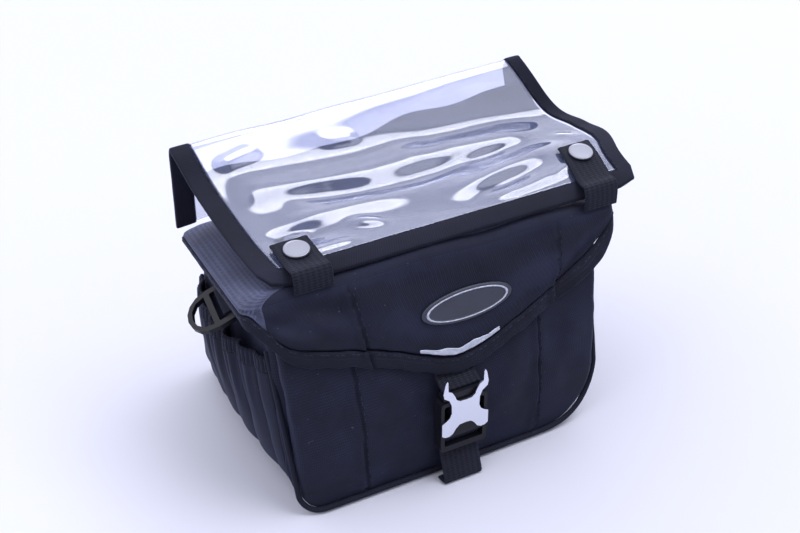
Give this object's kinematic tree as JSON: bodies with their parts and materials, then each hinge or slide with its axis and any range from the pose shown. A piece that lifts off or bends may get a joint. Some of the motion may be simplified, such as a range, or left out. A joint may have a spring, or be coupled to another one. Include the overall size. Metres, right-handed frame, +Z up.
{
  "type": "bicycle handlebar bag",
  "caption": "Soft box-shaped handlebar bag with a buckled flap lid, clear map case, side pockets and D-rings.",
  "frame": {"origin": "middle of the bag's box, on the surface that the bag stands on", "axes": "+X along the bag's width to its right as seen from the front, front face with the buckle towards -Y, +Z up"},
  "size_m": [0.2766, 0.1764, 0.1954],
  "materials": {
    "body_cloth": "matt coated woven polyester, near black with a blue cast",
    "lid_cloth": "matt coated woven polyester with a fine grid in its weave",
    "pocket_cloth": "thin matt woven polyester, gathered",
    "piping_cord": "matt black covered cord",
    "binding_tape": "matt ribbed tape, folded over the edges",
    "reflective_tape": "silver reflective tape, semi-gloss",
    "patch_rubber": "satin moulded rubber with a raised silver rim",
    "clear_vinyl": "clear glossy flexible vinyl sheet",
    "webbing": "matt black ribbed webbing",
    "snap_metal": "satin silver",
    "buckle_plastic": "satin black moulded plastic",
    "buckle_metal": "bright satin silver",
    "ring_plastic": "dark grey semi-gloss plastic",
    "plate_plastic": "matt black plastic"
  },
  "bodies": {
    "root": {"body_shell": "body_cloth", "front_piping": "piping_cord", "lid": "lid_cloth", "lid_binding": "binding_tape", "reflective_strip": "reflective_tape", "oval_patch": "patch_rubber", "side_pocket_left": "pocket_cloth", "side_pocket_right": "pocket_cloth", "pocket_elastic_left": "binding_tape", "pocket_elastic_right": "binding_tape", "map_window": "clear_vinyl", "map_binding": "binding_tape", "map_backing": "lid_cloth", "snap_tab_left": "webbing", "snap_tab_right": "webbing", "snap_cap_left": "snap_metal", "snap_cap_right": "snap_metal", "buckle_female": "buckle_plastic", "buckle_male": "buckle_plastic", "buckle_plate": "buckle_metal", "upper_webbing": "webbing", "lower_webbing": "webbing", "d_ring_left": "ring_plastic", "d_ring_right": "ring_plastic", "ring_loop_left": "webbing", "ring_loop_right": "webbing", "back_plate": "plate_plastic"}
  },
  "joints": []
}
